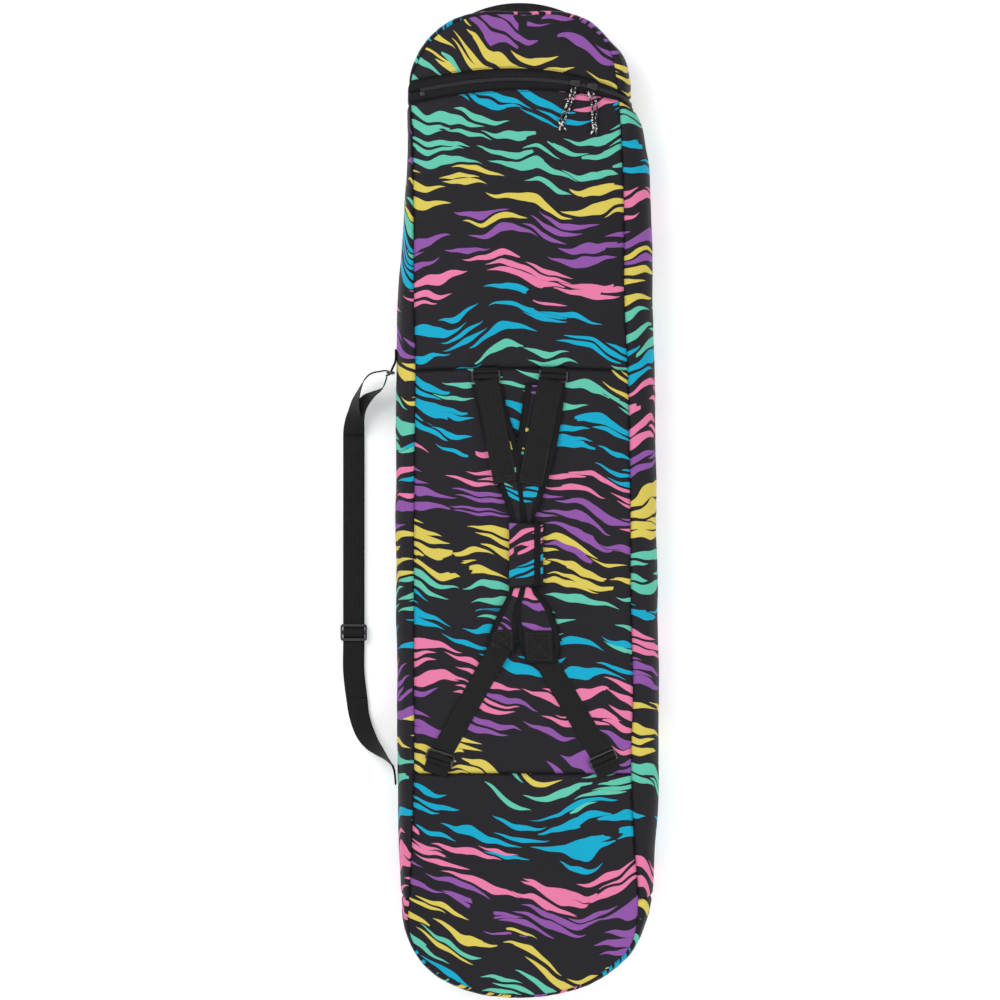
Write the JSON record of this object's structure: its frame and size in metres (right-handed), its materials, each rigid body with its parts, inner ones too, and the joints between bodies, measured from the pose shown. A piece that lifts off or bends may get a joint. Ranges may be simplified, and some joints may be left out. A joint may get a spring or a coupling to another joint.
{
  "type": "snowboard bag",
  "caption": "Long sewn sleeve for a snowboard, with a zipped end hood, a backpack harness with grip wrap, and an adjustable shoulder strap.",
  "frame": {"origin": "centre of the flat back face that the bag lies on", "axes": "+Y along the bag towards the hood, +Z out of the front (harness) face, +X to the right seen from the front"},
  "size_m": [0.4895, 1.521, 0.1291],
  "materials": {
    "print_fabric": "woven polyester with a printed stripe pattern",
    "plain_fabric": "plain black woven polyester",
    "webbing": "woven black webbing",
    "binding": "black edge binding",
    "zipper_tape": "woven zip tape",
    "zipper_coil": "black nylon coil",
    "glide_plastic": "moulded black acetal",
    "slider_metal": "black painted zip slider",
    "pull_cord": "braided cord, black with pale flecks"
  },
  "bodies": {
    "bag": {"front_panel_upper": "print_fabric", "front_panel_middle": "print_fabric", "front_panel_lower": "print_fabric", "back_panel": "plain_fabric", "gusset_left": "print_fabric", "gusset_right": "print_fabric", "gusset_foot": "print_fabric", "zipper_tape_body": "zipper_tape", "zipper_coil_body": "zipper_coil", "zipper_stop": "slider_metal", "shoulder_ring": "glide_plastic", "ring_tab": "webbing", "lower_strap_tab": "webbing", "upper_anchor_tab_left": "webbing", "upper_triglide_left": "glide_plastic", "upper_glide_loop_left": "webbing", "lower_anchor_tab_left": "webbing", "lower_triglide_left": "glide_plastic", "lower_glide_loop_left": "webbing", "upper_anchor_tab_right": "webbing", "upper_triglide_right": "glide_plastic", "upper_glide_loop_right": "webbing", "lower_anchor_tab_right": "webbing", "lower_triglide_right": "glide_plastic", "lower_glide_loop_right": "webbing"},
    "hood": {"hood_front_panel": "print_fabric", "hood_gusset": "print_fabric", "hood_back_panel": "plain_fabric", "zipper_tape_hood": "zipper_tape", "zipper_coil_hood": "zipper_coil", "haul_handle": "webbing"},
    "slider_left": {"slider_left": "slider_metal"},
    "slider_right": {"slider_right": "slider_metal"},
    "pull_left": {"pull_cord_left": "pull_cord", "pull_knot_left": "pull_cord"},
    "pull_right": {"pull_cord_right": "pull_cord", "pull_knot_right": "pull_cord"},
    "harness": {"padded_strap_left": "print_fabric", "padded_strap_right": "print_fabric", "upper_webbing_left": "webbing", "upper_webbing_right": "webbing", "lower_webbing_left": "webbing", "lower_webbing_right": "webbing", "strap_patch_left": "webbing", "strap_patch_right": "webbing", "handle_wrap_base": "print_fabric"},
    "wrap_flap": {"handle_wrap_flap": "print_fabric"},
    "shoulder_strap": {"shoulder_webbing": "webbing", "shoulder_webbing_return": "webbing"},
    "strap_adjuster": {"shoulder_triglide": "glide_plastic"}
  },
  "joints": [
    {"name": "hood_swing", "type": "hinge", "parent": "bag", "child": "hood", "pos_m": [-0.19, 0.606, 0.059], "axis": [0, 0, 1], "range_deg": [0, 110]},
    {"name": "slider_left_travel", "type": "hinge", "parent": "bag", "child": "slider_left", "pos_m": [-0.012, 0.113, 0.118], "axis": [0, 0, 1], "range_deg": [0, 24]},
    {"name": "slider_right_travel", "type": "hinge", "parent": "bag", "child": "slider_right", "pos_m": [-0.012, 0.113, 0.118], "axis": [0, 0, -1], "range_deg": [0, 3.5]},
    {"name": "pull_left_swing", "type": "hinge", "parent": "slider_left", "child": "pull_left", "pos_m": [0.071, 0.6264, 0.1232], "axis": [-1, 0, 0], "range_deg": [0, 150]},
    {"name": "pull_right_swing", "type": "hinge", "parent": "slider_right", "child": "pull_right", "pos_m": [0.097, 0.6216, 0.1232], "axis": [-1, 0, 0], "range_deg": [0, 150]},
    {"name": "harness_lift", "type": "slide", "parent": "bag", "child": "harness", "axis": [0, 0, 1], "range_m": [0, 0.05]},
    {"name": "wrap_flap_open", "type": "hinge", "parent": "harness", "child": "wrap_flap", "pos_m": [-0.0296, -0.059, 0.1275], "axis": [0, -1, 0], "range_deg": [0, 150]},
    {"name": "shoulder_strap_swing", "type": "hinge", "parent": "bag", "child": "shoulder_strap", "pos_m": [-0.212, -0.107, 0.06], "axis": [0, 1, 0], "range_deg": [0, 120]},
    {"name": "strap_adjust", "type": "slide", "parent": "shoulder_strap", "child": "strap_adjuster", "axis": [0, 1, 0], "range_m": [0, 0.25]}
  ]
}
